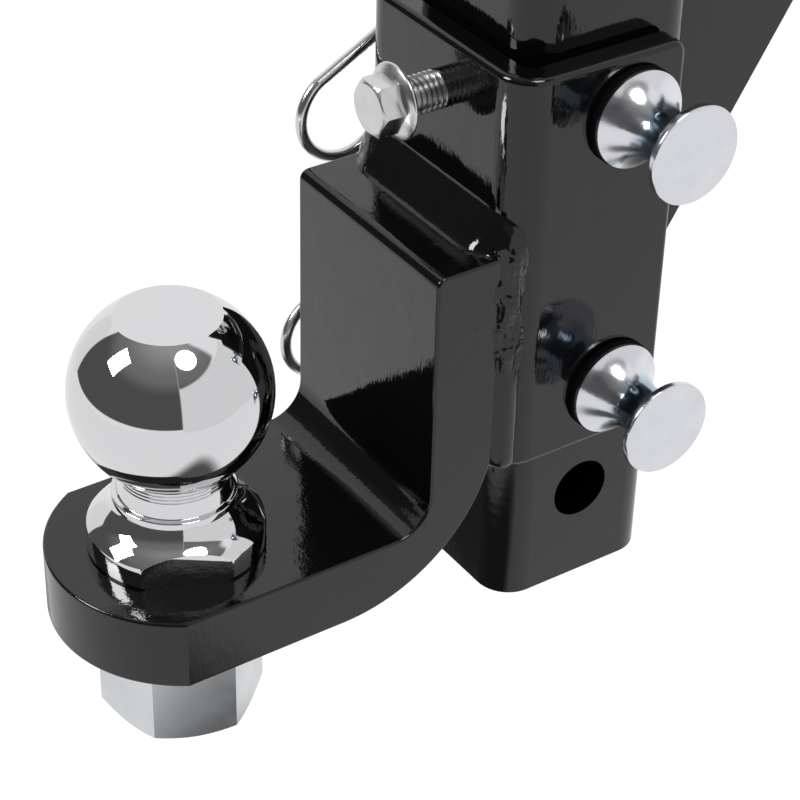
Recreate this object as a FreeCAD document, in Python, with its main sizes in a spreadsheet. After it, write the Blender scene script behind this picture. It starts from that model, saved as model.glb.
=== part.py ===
import FreeCAD, Part
import Sketcher
import math
import os

# Adjustable ball mount for a two inch trailer hitch receiver.
# Frame: +X is the side of the pin heads, -Y points to the ball, +Y to the vehicle, +Z is up.
# Origin: centre of the hitch pin bore in the receiver shank. All sizes in millimetres.

DRIVING_SIZES = {
    # drop tube with its row of pin holes
    "tube_width": 50.8,
    "tube_wall": 6.35,
    "tube_corner": 9.5,
    "tube_inner_corner": 3.2,
    "hole_diameter": 17.0,
    "hole_pitch": 38.9,
    "hole_count": 9,
    "hole_end_margin": 28.3,
    # receiver shank, brace and their weld beads
    "pin_setback": 258.0,
    "shank_tail": 50.0,
    "hitch_pin_hole": 16.5,
    "gusset_thickness": 8.0,
    "gusset_foot": 60.2,
    "gusset_run": 158.5,
    "frame_bead": 5.0,
    "weld_overlap": 1.0,
    # carriage: channel that slides on the drop tube
    "side_gap": 1.9,
    "channel_wall": 6.35,
    "channel_bend": 9.5,
    "channel_inner_bend": 3.0,
    "channel_back_reach": 15.4,
    "channel_end_margin": 16.3,
    "channel_plate_corner": 4.0,
    "channel_edge_round": 1.8,
    "carriage_hole": 1,
    "pin_spacing_holes": 2,
    "bolt_above_pin": 1.2,
    # ball platform: a flat bar bent into an L
    "platform_width": 63.0,
    "platform_thickness": 19.8,
    "platform_below_pin": 26.9,
    "leg_rise": 74.3,
    "bend_inner": 10.0,
    "bend_outer": 45.3,
    "platform_edge_round": 0.8,
    "leg_top_round": 2.6,
    "ball_reach": 75.7,
    "nose_radius": 35.9,
    "nose_centre_back": 2.5,
    "platform_bore": 26.0,
    # weld between platform and channel
    "top_bead_rise": 9.8,
    "top_bead_reach": 6.5,
    "top_bead_hollow": 0.12,
    "weld_end_inset": 7.4,
    "side_bead_wrap": 4.4,
    "side_bead_foot": 11.5,
    # tow ball, washer and nut
    "ball_diameter": 50.8,
    "ball_flat": 26.6,
    "ball_rise": 45.1,
    "neck_diameter": 27.6,
    "neck_foot_rise": 19.2,
    "neck_foot_radius": 5.0,
    "lip_diameter": 32.2,
    "lip_rise": 15.4,
    "collar_diameter": 45.4,
    "collar_chamfer": 0.7,
    "collar_edge_rise": 5.9,
    "collar_sweep": 17.0,
    "collar_top_diameter": 31.2,
    "collar_top_rise": 14.1,
    "collar_flats": 39.1,
    "collar_flat_turn": 158.7,
    "ball_shank": 25.4,
    "shank_end_chamfer": 1.5,
    "shank_past_nut": 2.5,
    "washer_outer": 41.0,
    "washer_thickness": 6.0,
    "washer_split": 2.0,
    "nut_flats": 37.4,
    "nut_height": 25.8,
    "nut_turn": 11.1,
    "thread_gap": 0.1,
    "nut_face_share": 0.97,
    # pins with spool heads, rubber rings and spring clips
    "pin_diameter": 15.875,
    "pin_flange": 25.4,
    "pin_flange_rim": 1.5,
    "pin_neck": 13.2,
    "pin_neck_start": 10.5,
    "pin_neck_end": 17.0,
    "pin_head_length": 22.1,
    "pin_disc_rim": 2.0,
    "pin_disc_root": 17.0,
    "pin_tail": 12.0,
    "pin_chamfer": 1.5,
    "ring_outer": 29.6,
    "ring_thickness": 1.6,
    "clip_offset": 5.6,
    "clip_wire": 3.1,
    "clip_hole": 3.7,
    "clip_reach": 41.8,
    "clip_head_radius": 12.5,
    "clip_pin_gap": 0.15,
    "clip_tip": 13.5,
    "clip_hug_angle": 42.0,
    "clip_lip_radius": 6.0,
    "clip_lip_angle": 62.0,
    "upper_clip_droop": 32.2,
    "lower_clip_droop": 14.7,
    # anti-rattle bolt
    "bolt_thread": 10.0,
    "bolt_hole_gap": 0.1,
    "bolt_stand_off": 11.6,
    "bolt_flange": 19.5,
    "bolt_flange_rim": 1.3,
    "bolt_flange_cone": 1.3,
    "bolt_flats": 13.2,
    "bolt_face_share": 0.93,
    "bolt_head_height": 8.2,
    "bolt_tip_gap": 0.1,
    "bolt_tip_chamfer": 1.2,
}

SMALLEST_CUT = 1e-6
CORNER_SLOPE_DEGREES = 30.0

document = FreeCAD.newDocument("adjustable_ball_mount")
sheet = document.addObject("Spreadsheet::Sheet", "sizes")
exports = []


class Size:
    """A length worked out from the sheet: its number and the expression that gives it."""

    def __init__(self, value, expression):
        self.value = value
        self.expression = expression

    def combine(self, other, symbol, value):
        text = other.expression if isinstance(other, Size) else str(other)
        return Size(value, "(" + self.expression + symbol + text + ")")

    def __add__(self, other):
        return self.combine(other, " + ", self.value + number(other))

    def __sub__(self, other):
        return self.combine(other, " - ", self.value - number(other))

    def __mul__(self, other):
        return self.combine(other, " * ", self.value * number(other))

    def __truediv__(self, other):
        return self.combine(other, " / ", self.value / number(other))

    def __rsub__(self, other):
        return Size(float(other), str(other)) - self

    def __neg__(self):
        return Size(-self.value, "(0 - " + self.expression + ")")


def number(quantity):
    """The plain number of a Size or of a number."""
    return quantity.value if isinstance(quantity, Size) else float(quantity)


def fill_sheet():
    """Write every driving size into its own named cell."""
    for row, (alias, value) in enumerate(DRIVING_SIZES.items(), start=1):
        cell = "B" + str(row)
        sheet.set("A" + str(row), alias)
        sheet.set(cell, str(value))
        sheet.setAlias(cell, alias)
    document.recompute()


def size(alias):
    """A driving size by its name in the sheet."""
    return Size(float(DRIVING_SIZES[alias]), "sizes." + alias)


# Helpers that draw and build

def new_body(name, x=None, y=None, z=None):
    """A sub-part named for its node, placed in the shared frame."""
    body = document.addObject("PartDesign::Body", name)
    body.Label = name
    base = [number(part) if part is not None else 0.0 for part in (x, y, z)]
    body.Placement = FreeCAD.Placement(FreeCAD.Vector(*base), FreeCAD.Rotation())
    for axis, part in zip("xyz", (x, y, z)):
        if part is not None:
            body.setExpression("Placement.Base." + axis, part.expression)
    exports.append(body)
    return body


def new_sketch(body, name, plane, lift=None):
    """A sketch on one of the body's own origin planes, lifted along its normal if asked."""
    sketch = body.newObject("Sketcher::SketchObject", body.Name + "_" + name)
    support = [item for item in body.Origin.OriginFeatures if item.Role == plane][0]
    sketch.AttachmentSupport = [(support, "")]
    sketch.MapMode = "FlatFace"
    if lift is not None:
        sketch.AttachmentOffset = FreeCAD.Placement(FreeCAD.Vector(0, 0, lift.value), FreeCAD.Rotation())
        sketch.setExpression("AttachmentOffset.Base.z", lift.expression)
    return sketch


def bind(sketch, kind, arguments, length):
    """Add one driving constraint and tie it to the sheet."""
    index = sketch.addConstraint(Sketcher.Constraint(kind, *arguments, number(length)))
    if isinstance(length, Size):
        sketch.setExpression("Constraints[" + str(index) + "]", length.expression)


def pin_point(sketch, curve, end, x, y):
    """Fix one end of a curve at a place measured from the sketch origin."""
    bind(sketch, "DistanceX", (-1, 1, curve, end), x)
    bind(sketch, "DistanceY", (-1, 1, curve, end), y)


def arc_centre(start, end, radius, side):
    """Centre of the arc from start to end that bulges to the left (side 1) or right (side -1)."""
    middle = (start + end) * 0.5
    chord = end - start
    across = FreeCAD.Vector(-chord.y, chord.x, 0).normalize()
    depth = math.sqrt(max(radius * radius - (chord.Length / 2) ** 2, 0.0))
    return middle - across * (depth * side)


def draw_outline(sketch, corners):
    """Draw a closed outline from corners (x, y) or (x, y, radius, side).

    A corner with a radius starts an arc to the next corner; side 1 bulges to the left of
    the way the outline runs and side -1 to the right.
    """
    places = [FreeCAD.Vector(number(corner[0]), number(corner[1]), 0) for corner in corners]
    count = len(corners)
    base = sketch.GeometryCount
    starts = []
    ends = []
    for index, corner in enumerate(corners):
        start = places[index]
        end = places[(index + 1) % count]
        if len(corner) == 2:
            sketch.addGeometry(Part.LineSegment(start, end), False)
            starts.append(1)
            ends.append(2)
            continue
        radius, side = number(corner[2]), corner[3]
        centre = arc_centre(start, end, radius, side)
        first = math.atan2(start.y - centre.y, start.x - centre.x)
        last = math.atan2(end.y - centre.y, end.x - centre.x)
        circle = Part.Circle(centre, FreeCAD.Vector(0, 0, 1), radius)
        if side == 1:
            sketch.addGeometry(Part.ArcOfCircle(circle, last, first), False)
            starts.append(2)
            ends.append(1)
        else:
            sketch.addGeometry(Part.ArcOfCircle(circle, first, last), False)
            starts.append(1)
            ends.append(2)
    for index in range(count):
        after = (index + 1) % count
        sketch.addConstraint(Sketcher.Constraint("Coincident", base + index, ends[index],
                                                 base + after, starts[after]))
    for index, corner in enumerate(corners):
        pin_point(sketch, base + index, starts[index], corner[0], corner[1])
        if len(corner) == 4:
            bind(sketch, "Radius", (base + index,), corner[2])


def draw_circle(sketch, x, y, diameter):
    """Draw a circle with its centre and diameter tied to the sheet."""
    centre = FreeCAD.Vector(number(x), number(y), 0)
    index = sketch.addGeometry(Part.Circle(centre, FreeCAD.Vector(0, 0, 1), number(diameter) / 2), False)
    pin_point(sketch, index, 3, x, y)
    bind(sketch, "Diameter", (index,), diameter)


def square(half_x, half_y):
    """Corners of a centred rectangle, counter-clockwise from the lower left."""
    return [(-half_x, -half_y), (half_x, -half_y), (half_x, half_y), (-half_x, half_y)]


def pad(body, sketch, length, centred=False, reverse=False):
    """Extrude a sketch by a length from the sheet."""
    feature = body.newObject("PartDesign::Pad", sketch.Name + "_pad")
    feature.Profile = sketch
    feature.Length = number(length)
    feature.setExpression("Length", length.expression)
    feature.Midplane = centred
    feature.Reversed = reverse
    document.recompute()
    return feature


def cut_through(body, sketch, reverse=False, both_ways=True):
    """Cut a sketch through the whole body and make sure that it removed something."""
    before = body.Shape.Volume
    feature = body.newObject("PartDesign::Pocket", sketch.Name + "_cut")
    feature.Profile = sketch
    feature.Type = "ThroughAll"
    feature.Midplane = both_ways
    feature.Reversed = reverse
    document.recompute()
    if body.Shape.Volume >= before - SMALLEST_CUT:
        raise RuntimeError(sketch.Name + " cuts nothing")
    return feature


def revolve(body, sketch, axis):
    """Turn a sketch all the way round one of its own axes."""
    feature = body.newObject("PartDesign::Revolution", sketch.Name + "_turned")
    feature.Profile = sketch
    feature.ReferenceAxis = (sketch, [axis])
    feature.Angle = 360.0
    document.recompute()
    return feature


def edges_where(shape, test):
    """Names of the edges of a shape whose middle and direction pass a test."""
    names = []
    for index, edge in enumerate(shape.Edges, start=1):
        middle = edge.valueAt((edge.FirstParameter + edge.LastParameter) / 2)
        if test(edge, middle):
            names.append("Edge" + str(index))
    return names


def round_edges(body, names, radius, name):
    """Fillet the named edges with a radius from the sheet."""
    feature = body.newObject("PartDesign::Fillet", body.Name + "_" + name)
    feature.Base = (body.Tip if body.Tip is not feature else feature.BaseFeature, names)
    feature.Radius = radius.value
    feature.setExpression("Radius", radius.expression)
    document.recompute()
    return feature


def along(edge, axis):
    """True for a straight edge that runs along x, y or z."""
    if edge.Curve.TypeId != "Part::GeomLine":
        return False
    direction = edge.tangentAt(edge.FirstParameter)
    return abs(getattr(direction, axis)) > 0.999


def near(value, target, tolerance=0.01):
    """True if two lengths agree closely."""
    return abs(value - target) < tolerance


def turn_on_end(item, angle):
    """Turn a placed piece about its own upright axis by an angle from the sheet."""
    item.Placement = FreeCAD.Placement(item.Placement.Base,
                                       FreeCAD.Rotation(FreeCAD.Vector(0, 0, 1), number(angle)))
    item.setExpression("Placement.Rotation.Angle", angle.expression)


def primitive(kind, name, **lengths):
    """A Part primitive whose sizes are tied to the sheet."""
    item = document.addObject("Part::" + kind, name)
    for label, length in lengths.items():
        setattr(item, label, number(length))
        if isinstance(length, Size):
            item.setExpression(label, length.expression)
    return item


def combine(kind, name, base, tool):
    """A Part boolean of two objects."""
    item = document.addObject("Part::" + kind, name)
    item.Base = base
    item.Tool = tool
    document.recompute()
    return item


def solid_part(name, shape, placement=None):
    """A sub-part whose shape comes from Part's own functions."""
    feature = document.addObject("Part::Feature", name)
    feature.Label = name
    feature.Shape = shape
    if placement is not None:
        feature.Placement = placement
    exports.append(feature)
    return feature


# Places that several pieces share

fill_sheet()
tube_half = size("tube_width") / 2
tube_length = size("hole_end_margin") * 2 + size("hole_pitch") * (size("hole_count") - 1)
tube_axis_y = -size("pin_setback")
tube_top_z = tube_half
tube_bottom_z = tube_top_z - tube_length
tube_back_y = tube_axis_y + tube_half
lower_pin_z = tube_bottom_z + size("hole_end_margin") + size("hole_pitch") * size("carriage_hole")
pin_spacing = size("hole_pitch") * size("pin_spacing_holes")
upper_pin_z = lower_pin_z + pin_spacing
channel_inside = tube_half + size("side_gap")
channel_half = channel_inside + size("channel_wall")
channel_bottom_z = lower_pin_z - size("channel_end_margin")
channel_height = pin_spacing + size("channel_end_margin") * 2
channel_front_y = tube_axis_y - channel_half
platform_top_z = lower_pin_z - size("platform_below_pin")
ball_y = channel_front_y - size("ball_reach")
bolt_z = upper_pin_z + size("bolt_above_pin")


# Drop frame: drop tube, receiver shank, brace and weld beads

def square_tube(name, axis_plane, length, x, y, z):
    """A square tube with rounded corners, centred on its own axis."""
    body = new_body(name, x, y, z)
    outline = new_sketch(body, "section", axis_plane)
    draw_outline(outline, square(tube_half, tube_half))
    outer = pad(body, outline, length)
    axis = "z" if axis_plane == "XY_Plane" else "y"
    corners = edges_where(outer.Shape, lambda edge, middle: along(edge, axis))
    round_edges(body, corners, size("tube_corner"), "corners")
    bore = new_sketch(body, "bore", axis_plane)
    inner_half = tube_half - size("tube_wall")
    draw_outline(bore, square(inner_half, inner_half))
    cut = cut_through(body, bore)
    corners = edges_where(cut.Shape, lambda edge, middle: along(edge, axis)
                          and near(abs(middle.x), inner_half.value))
    round_edges(body, corners, size("tube_inner_corner"), "inner_corners")
    return body


def make_drop_tube():
    """Upright square tube with nine cross holes for the two pins."""
    body = square_tube("drop_tube", "XY_Plane", tube_length, None, tube_axis_y, tube_bottom_z)
    hole = new_sketch(body, "hole", "YZ_Plane")
    draw_circle(hole, 0, size("hole_end_margin"), size("hole_diameter"))
    first_cut = cut_through(body, hole)
    row = body.newObject("PartDesign::LinearPattern", "drop_tube_holes")
    row.Originals = [first_cut]
    row.Direction = (hole, ["V_Axis"])
    row.Length = (size("hole_pitch") * (size("hole_count") - 1)).value
    row.setExpression("Length", (size("hole_pitch") * (size("hole_count") - 1)).expression)
    row.Occurrences = int(size("hole_count").value)
    row.setExpression("Occurrences", size("hole_count").expression)
    body.Tip = row
    document.recompute()


def make_receiver_shank():
    """Level square tube that slides into the receiver, with its cross hole for the hitch pin."""
    length = size("pin_setback") - tube_half + size("shank_tail")
    body = square_tube("receiver_shank", "XZ_Plane", length, None, size("shank_tail"), None)
    hole = new_sketch(body, "pin_hole", "YZ_Plane")
    draw_circle(hole, -size("shank_tail"), 0, size("hitch_pin_hole"))
    cut_through(body, hole)


def make_gusset():
    """Three-cornered brace plate between the back of the tube and the underside of the shank."""
    body = new_body("gusset", None, tube_back_y, -tube_half)
    outline = new_sketch(body, "outline", "YZ_Plane")
    drop = tube_length - size("tube_width") - size("gusset_foot")
    draw_outline(outline, [(0, 0), (0, -drop), (size("gusset_run"), 0)])
    pad(body, outline, size("gusset_thickness"), centred=True)


def bead_prism(profile, along_vector):
    """A straight bead: a three-cornered profile extruded along a vector."""
    points = [FreeCAD.Vector(*corner) for corner in profile]
    return Part.Face(Part.makePolygon(points + [points[0]])).extrude(FreeCAD.Vector(*along_vector))


def make_gusset_welds():
    """L-shaped fillet beads on both faces of the brace, down the tube and along the shank."""
    bead = size("frame_bead").value
    back = tube_back_y.value
    under = -tube_half.value
    plate = size("gusset_thickness").value / 2
    drop = (tube_length - size("tube_width") - size("gusset_foot")).value
    for side, word in ((1, "right"), (-1, "left")):
        inner = side * plate
        outer = side * (plate + bead)
        upright = bead_prism([(inner, back, under), (outer, back, under), (inner, back + bead, under)],
                             (0, 0, bead * 2 - drop))
        level = bead_prism([(inner, back, under), (outer, back, under), (inner, back, under - bead)],
                           (0, size("gusset_run").value - bead * 2, 0))
        solid_part("gusset_weld_" + word, upright.fuse(level).removeSplitter())


def make_shank_welds():
    """Round beads that fill the groove beside the shank and the corner under it."""
    bead = size("frame_bead").value
    back = tube_back_y.value
    half = tube_half.value
    corner = size("tube_corner").value
    start = size("gusset_thickness").value / 2 + bead
    groove = half - corner / 3
    tube = document.getObject("drop_tube").Shape
    shank = document.getObject("receiver_shank").Shape
    for side, word in ((1, "right"), (-1, "left")):
        under = Part.makeCylinder(bead, groove - start, FreeCAD.Vector(side * start, back, -half),
                                  FreeCAD.Vector(side, 0, 0))
        beside = Part.makeCylinder(bead, half * 2 - corner / 2,
                                   FreeCAD.Vector(side * groove, back, -half - size("weld_overlap").value))
        shape = under.fuse(beside).cut(tube).cut(shank).removeSplitter()
        solid_part("shank_weld_" + word, max(shape.Solids, key=lambda solid: solid.Volume))


# Carriage: channel, platform and weld

def make_carriage_channel():
    """Plate folded into a U round the drop tube, open at the back, with its pin holes."""
    body = new_body("carriage_channel", None, tube_axis_y, channel_bottom_z)
    outline = new_sketch(body, "section", "XY_Plane")
    back = size("channel_back_reach")
    draw_outline(outline, [(-channel_half, back), (-channel_half, -channel_half), (channel_half, -channel_half),
                           (channel_half, back), (channel_inside, back), (channel_inside, -channel_inside),
                           (-channel_inside, -channel_inside), (-channel_inside, back)])
    folded = pad(body, outline, channel_height)
    outer = edges_where(folded.Shape, lambda edge, middle: along(edge, "z")
                        and near(middle.y, -channel_half.value))
    bent = round_edges(body, outer, size("channel_bend"), "outer_bends")
    inner = edges_where(bent.Shape, lambda edge, middle: along(edge, "z")
                        and near(middle.y, -channel_inside.value))
    inside = round_edges(body, inner, size("channel_inner_bend"), "inner_bends")
    plate_corners = edges_where(inside.Shape, lambda edge, middle: along(edge, "x")
                                and near(middle.y, back.value))
    cornered = round_edges(body, plate_corners, size("channel_plate_corner"), "plate_corners")
    top = channel_height.value
    rim = edges_where(cornered.Shape, lambda edge, middle: (near(middle.z, 0) or near(middle.z, top))
                      and (abs(middle.x) > channel_inside.value + 0.5 or middle.y < -channel_inside.value - 0.5)
                      and (near(abs(middle.x), channel_half.value) or near(middle.y, -channel_half.value)
                           or not along(edge, "x") and not along(edge, "y")))
    round_edges(body, rim, size("channel_edge_round"), "edge_round")
    holes = new_sketch(body, "pin_holes", "YZ_Plane")
    draw_circle(holes, 0, size("channel_end_margin"), size("hole_diameter"))
    draw_circle(holes, 0, size("channel_end_margin") + pin_spacing, size("hole_diameter"))
    cut_through(body, holes)
    bolt_hole = new_sketch(body, "bolt_hole", "XZ_Plane")
    bolt_rise = size("channel_end_margin") + pin_spacing + size("bolt_above_pin")
    draw_circle(bolt_hole, 0, bolt_rise, size("bolt_thread") + size("bolt_hole_gap"))
    cut_through(body, bolt_hole)


def make_ball_platform():
    """Flat bar bent into an L: upright leg, generous bend, level tongue with a round nose."""
    body = new_body("ball_platform", None, channel_front_y, platform_top_z)
    outline = new_sketch(body, "profile", "YZ_Plane")
    thickness = size("platform_thickness")
    reach = size("ball_reach") + size("nose_radius")
    draw_outline(outline, [(0, size("leg_rise")), (-thickness, size("leg_rise")), (-thickness, 0),
                           (-reach, 0), (-reach, -thickness), (0, -thickness)])
    bar = pad(body, outline, size("platform_width"), centred=True)
    inner = edges_where(bar.Shape, lambda edge, middle: along(edge, "x")
                        and near(middle.y, -thickness.value) and near(middle.z, 0))
    bent = round_edges(body, inner, size("bend_inner"), "inner_bend")
    outer = edges_where(bent.Shape, lambda edge, middle: along(edge, "x")
                        and near(middle.y, 0) and near(middle.z, -thickness.value))
    round_edges(body, outer, size("bend_outer"), "outer_bend")
    nose = new_sketch(body, "nose", "XY_Plane")
    radius = size("nose_radius")
    half = size("platform_width") / 2
    corner_y = Size(-(size("ball_reach") - size("nose_centre_back")).value
                    - math.sqrt(radius.value ** 2 - half.value ** 2),
                    "(0 - sizes.ball_reach + sizes.nose_centre_back"
                    " - sqrt(sizes.nose_radius^2 - (sizes.platform_width / 2)^2))")
    far_y = corner_y - radius * 2
    draw_outline(nose, [(-half, corner_y, radius, -1), (half, corner_y), (radius * 2, corner_y),
                        (radius * 2, far_y), (-radius * 2, far_y), (-radius * 2, corner_y)])
    nosed = cut_through(body, nose)
    top_front = edges_where(nosed.Shape, lambda edge, middle: near(middle.z, size("leg_rise").value)
                            and near(middle.y, -thickness.value))
    eased = round_edges(body, top_front, size("leg_top_round"), "leg_top")
    half_width = size("platform_width").value / 2
    level_rim = edges_where(eased.Shape, lambda edge, middle: near(abs(middle.x), half_width)
                            and not along(edge, "z") and middle.y < -1.0
                            or (near(middle.z, 0) or near(middle.z, -thickness.value))
                            and edge.Curve.TypeId == "Part::GeomCircle")
    round_edges(body, level_rim, size("platform_edge_round"), "edges")
    bore = new_sketch(body, "bore", "XY_Plane")
    draw_circle(bore, 0, -size("ball_reach"), size("platform_bore"))
    cut_through(body, bore)


def make_platform_welds():
    """One hollow fillet round three sides of the leg: across its top, round its corners, down its sides."""
    channel = document.getObject("carriage_channel").Shape
    platform = document.getObject("ball_platform").Shape
    front = channel_front_y.value
    leg_top = (platform_top_z + size("leg_rise")).value
    foot = (platform_top_z + size("side_bead_foot")).value
    rise = size("top_bead_rise").value
    reach = size("top_bead_reach").value
    wrap = size("side_bead_wrap").value
    turn_x = size("platform_width").value / 2 - size("weld_end_inset").value
    root = FreeCAD.Vector(-turn_x, front, leg_top)
    upper_toe = root + FreeCAD.Vector(0, 0, rise)
    lower_toe = root - FreeCAD.Vector(0, reach, 0)
    chord_middle = (upper_toe + lower_toe) * 0.5
    hollow = chord_middle + (root - chord_middle) * size("top_bead_hollow").value
    section = Part.Face(Part.Wire([Part.makeLine(root, lower_toe), Part.Arc(lower_toe, hollow, upper_toe).toShape(),
                                   Part.makeLine(upper_toe, root)]))
    across = FreeCAD.Vector(turn_x * 2, 0, 0)
    solid_part("platform_weld_top", section.extrude(across).cut(channel).cut(platform).removeSplitter())
    for side, word in ((1, "right"), (-1, "left")):
        start = section if side < 0 else section.translated(across)
        corner = FreeCAD.Vector(side * turn_x, front, leg_top)
        along_y = FreeCAD.Vector(0, side, 0)
        bend = start.revolve(corner, along_y, 90)
        level = start.copy()
        level.rotate(corner, along_y, 90)
        upright = level.extrude(FreeCAD.Vector(0, 0, foot - leg_top))
        inner_x = 0 if side > 0 else -rise
        filler = Part.makeBox(rise, wrap, leg_top - foot, corner + FreeCAD.Vector(inner_x, 0, foot - leg_top))
        round_end = Part.makeCylinder(rise, wrap, corner, FreeCAD.Vector(0, 1, 0))
        shoulder = round_end.common(Part.makeBox(rise, wrap, rise, corner + FreeCAD.Vector(inner_x, 0, 0)))
        bead = bend.fuse([upright, filler, shoulder]).cut(channel).cut(platform).removeSplitter()
        solid_part("platform_weld_" + word, max(bead.Solids, key=lambda solid: solid.Volume))


# Tow ball, lock washer and nut

def make_tow_ball():
    """Ball with flat top, neck, flared collar with two wrench flats, and shank, turned in one piece."""
    body = new_body("tow_ball", None, ball_y, platform_top_z)
    profile = new_sketch(body, "profile", "XZ_Plane")
    radius = size("ball_diameter") / 2
    flat = size("ball_flat") / 2
    neck = size("neck_diameter") / 2
    flat_lift = math.sqrt(radius.value ** 2 - flat.value ** 2)
    neck_drop = math.sqrt(radius.value ** 2 - neck.value ** 2)
    ball_rise = size("ball_rise")
    flat_z = Size(ball_rise.value + flat_lift,
                  "(sizes.ball_rise + sqrt((sizes.ball_diameter / 2)^2 - (sizes.ball_flat / 2)^2))")
    neck_z = Size(ball_rise.value - neck_drop,
                  "(sizes.ball_rise - sqrt((sizes.ball_diameter / 2)^2 - (sizes.neck_diameter / 2)^2))")
    shank = size("ball_shank") / 2
    chamfer = size("shank_end_chamfer")
    end_z = -(size("platform_thickness") + size("washer_thickness") + size("nut_height")
              + size("shank_past_nut"))
    collar = size("collar_diameter") / 2
    collar_edge = size("collar_chamfer")
    collar_top = size("collar_top_diameter") / 2
    lip = size("lip_diameter") / 2
    draw_outline(profile, [
        (0, flat_z), (0, end_z), (shank - chamfer, end_z), (shank, end_z + chamfer), (shank, 0),
        (collar - collar_edge, 0), (collar, collar_edge),
        (collar, size("collar_edge_rise"), size("collar_sweep"), 1), (collar_top, size("collar_top_rise")),
        (lip, size("collar_top_rise") + (lip - collar_top)),
        (lip, size("lip_rise"), size("neck_foot_radius"), 1), (neck, size("neck_foot_rise")),
        (neck, neck_z, radius, -1), (flat, flat_z)])
    revolve(body, profile, "V_Axis")
    flats = new_sketch(body, "collar_flats", "XY_Plane")
    half_flats = size("collar_flats") / 2
    reach = size("collar_diameter")
    for side in (1, -1):
        near_x, far_x = sorted((half_flats * side, reach * side), key=number)
        draw_outline(flats, [(near_x, -reach), (far_x, -reach), (far_x, reach), (near_x, reach)])
    before = body.Shape.Volume
    cut = body.newObject("PartDesign::Pocket", "tow_ball_collar_cut")
    cut.Profile = flats
    cut.Length = size("collar_top_rise").value
    cut.setExpression("Length", size("collar_top_rise").expression)
    cut.Reversed = True
    document.recompute()
    if body.Shape.Volume >= before - SMALLEST_CUT:
        raise RuntimeError("collar flats cut nothing")
    turn_on_end(body, size("collar_flat_turn"))


def make_lock_washer():
    """Split spring washer between the platform and the nut, drawn closed flat."""
    under = platform_top_z - size("platform_thickness") - size("washer_thickness")
    body = new_body("lock_washer", None, ball_y, under)
    ring = new_sketch(body, "ring", "XY_Plane")
    draw_circle(ring, 0, 0, size("washer_outer"))
    draw_circle(ring, 0, 0, size("ball_shank") + size("thread_gap") * 2)
    pad(body, ring, size("washer_thickness"))
    split = new_sketch(body, "split", "XY_Plane")
    half_split = size("washer_split") / 2
    draw_outline(split, [(-half_split, 0), (half_split, 0), (half_split, size("washer_outer")),
                         (-half_split, size("washer_outer"))])
    cut_through(body, split)


def hexagon_blank(name, flats, height, face_share, both_ends):
    """A hexagonal prism with its corners cut back by a cone at the far end or at both ends."""
    slope = math.tan(math.radians(CORNER_SLOPE_DEGREES))
    face = flats * face_share / 2
    wide = face + height / slope
    prism = primitive("Prism", name + "_prism", Circumradius=flats / math.sqrt(3), Height=height)
    prism.Polygon = 6
    far_end = primitive("Cone", name + "_far_end", Radius1=wide, Radius2=face, Height=height)
    blank = combine("Common", name + "_blank", prism, far_end)
    if not both_ends:
        return blank
    near_end = primitive("Cone", name + "_near_end", Radius1=face, Radius2=wide, Height=height)
    return combine("Common", name + "_double_blank", blank, near_end)


def make_ball_nut():
    """Hexagon nut under the platform, chamfered on both faces."""
    height = size("nut_height")
    bottom = platform_top_z - size("platform_thickness") - size("washer_thickness") - height
    blank = hexagon_blank("ball_nut", size("nut_flats"), height, size("nut_face_share"), True)
    bore = primitive("Cylinder", "ball_nut_bore", Radius=size("ball_shank") / 2 + size("thread_gap"),
                     Height=height)
    nut = combine("Cut", "ball_nut", blank, bore)
    nut.Placement.Base = FreeCAD.Vector(0, ball_y.value, bottom.value)
    nut.setExpression("Placement.Base.y", ball_y.expression)
    nut.setExpression("Placement.Base.z", bottom.expression)
    turn_on_end(nut, size("nut_turn"))
    exports.append(nut)


# Pins, rubber rings, spring clips and bolt

def make_pin(name, height, droop):
    """Turned pin: spool head outside the channel, shaft through it, cross hole for the clip."""
    body = new_body(name, None, tube_axis_y, height)
    profile = new_sketch(body, "profile", "XZ_Plane")
    start = channel_half + size("ring_thickness")
    shaft = size("pin_diameter") / 2
    flange = size("pin_flange") / 2
    neck = size("pin_neck") / 2
    tail = -(channel_half + size("pin_tail"))
    chamfer = size("pin_chamfer")
    disc_back = start + size("pin_head_length") - size("pin_disc_rim")
    draw_outline(profile, [
        (tail, 0), (start + size("pin_head_length"), 0), (start + size("pin_head_length"), flange),
        (disc_back, flange), (disc_back, size("pin_disc_root") / 2),
        (start + size("pin_neck_end"), neck), (start + size("pin_neck_start"), neck, size("pin_flange"), 1),
        (start + size("pin_flange_rim"), flange), (start, flange), (start, shaft),
        (tail + chamfer, shaft), (tail, shaft - chamfer)])
    revolve(body, profile, "H_Axis")
    hole = primitive("Cylinder", name + "_clip_hole", Radius=size("clip_hole") / 2,
                     Height=size("pin_diameter") * 2)
    along_leg = clip_leg_direction(droop)
    middle = clip_centre(height)
    hole.Placement = FreeCAD.Placement(middle - along_leg * size("pin_diameter").value,
                                       FreeCAD.Rotation(FreeCAD.Vector(0, 0, 1), along_leg))
    drilled = combine("Cut", name + "_drilled", body, hole)
    exports.remove(body)
    body.Label = name + "_turned"
    drilled.Label = name
    exports.append(drilled)


def make_ring(name, height):
    """Flat rubber ring squeezed between the pin flange and the channel."""
    body = new_body(name, channel_half, tube_axis_y, height)
    section = new_sketch(body, "section", "YZ_Plane")
    draw_circle(section, 0, 0, size("ring_outer"))
    draw_circle(section, 0, 0, size("pin_diameter") + size("thread_gap") * 2)
    pad(body, section, size("ring_thickness"))


def clip_centre(height):
    """The point where a clip's straight leg crosses the axis of its pin."""
    return FreeCAD.Vector(-(channel_half + size("clip_offset")).value, tube_axis_y.value, height.value)


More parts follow.
